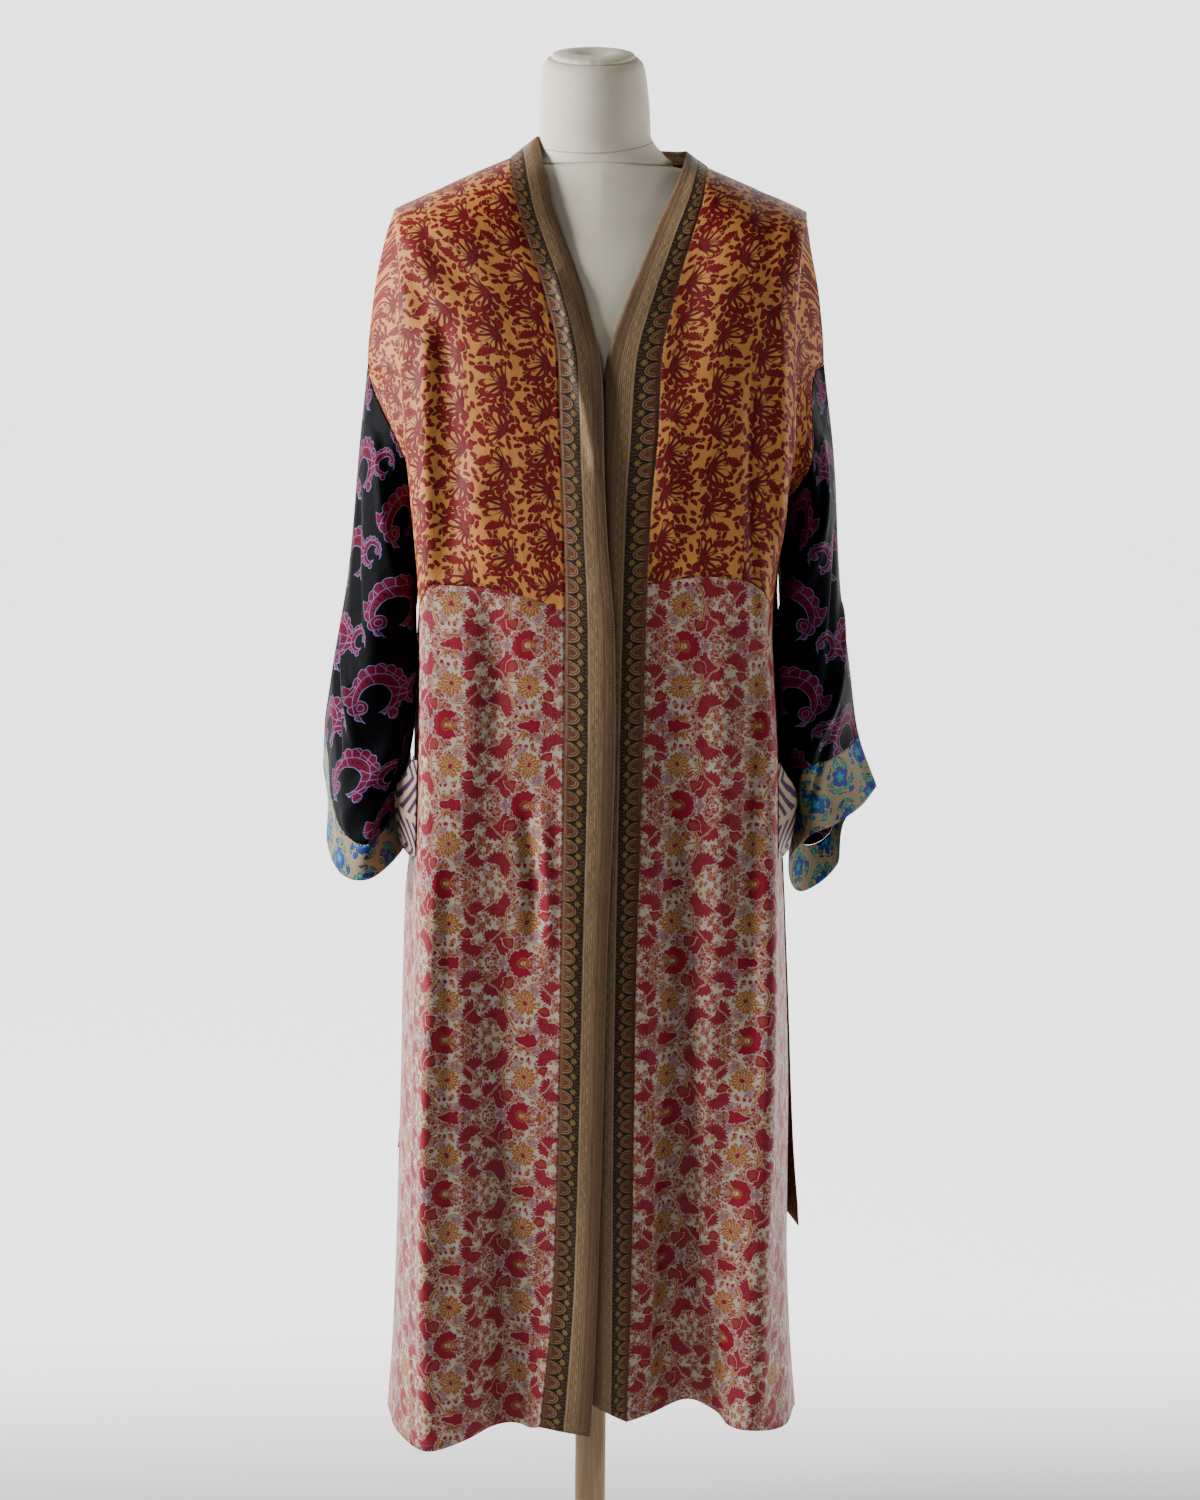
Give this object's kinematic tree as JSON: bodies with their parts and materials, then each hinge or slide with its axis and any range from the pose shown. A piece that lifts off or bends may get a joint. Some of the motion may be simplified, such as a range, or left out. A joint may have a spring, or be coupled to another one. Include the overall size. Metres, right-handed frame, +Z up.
{
  "type": "kimono robe on a limbless dress form",
  "caption": "Long patchwork silk kimono robe with wide sleeves, front band, side pockets and tie belt, hanging open on a limbless dress form.",
  "frame": {"origin": "centre of the base's underside, on the floor", "axes": "+Z up, -Y to the front of the robe, +X to the wearer's left"},
  "size_m": [0.598, 0.37, 1.7114],
  "materials": {
    "gold_silk": "printed silk, satin",
    "floral_silk": "printed silk, satin",
    "border_silk": "woven border silk, satin",
    "black_silk": "printed silk, satin",
    "cuff_silk": "printed silk, satin",
    "pocket_silk": "printed silk, satin",
    "olive_silk": "printed silk, satin",
    "form_cloth": "plain cotton, matt",
    "light_wood": "satin",
    "base_wood": "satin"
  },
  "bodies": {
    "root": {"upper_front_right": "gold_silk", "upper_front_left": "gold_silk", "upper_back": "gold_silk", "lower_front_right": "floral_silk", "lower_front_left": "floral_silk", "lower_back": "floral_silk", "front_band_right": "border_silk", "front_band_left": "border_silk", "back_neck_band": "border_silk", "sleeve_right": "black_silk", "cuff_right": "cuff_silk", "pocket_right": "pocket_silk", "sleeve_left": "black_silk", "cuff_left": "cuff_silk", "pocket_left": "pocket_silk", "belt_waist": "gold_silk", "belt_end_left_upper": "gold_silk", "belt_end_left": "olive_silk", "belt_end_right": "olive_silk", "form_torso": "form_cloth", "form_neck": "form_cloth", "form_neck_cap": "form_cloth", "form_collar": "light_wood", "form_pole": "light_wood", "form_base": "base_wood"}
  },
  "joints": []
}
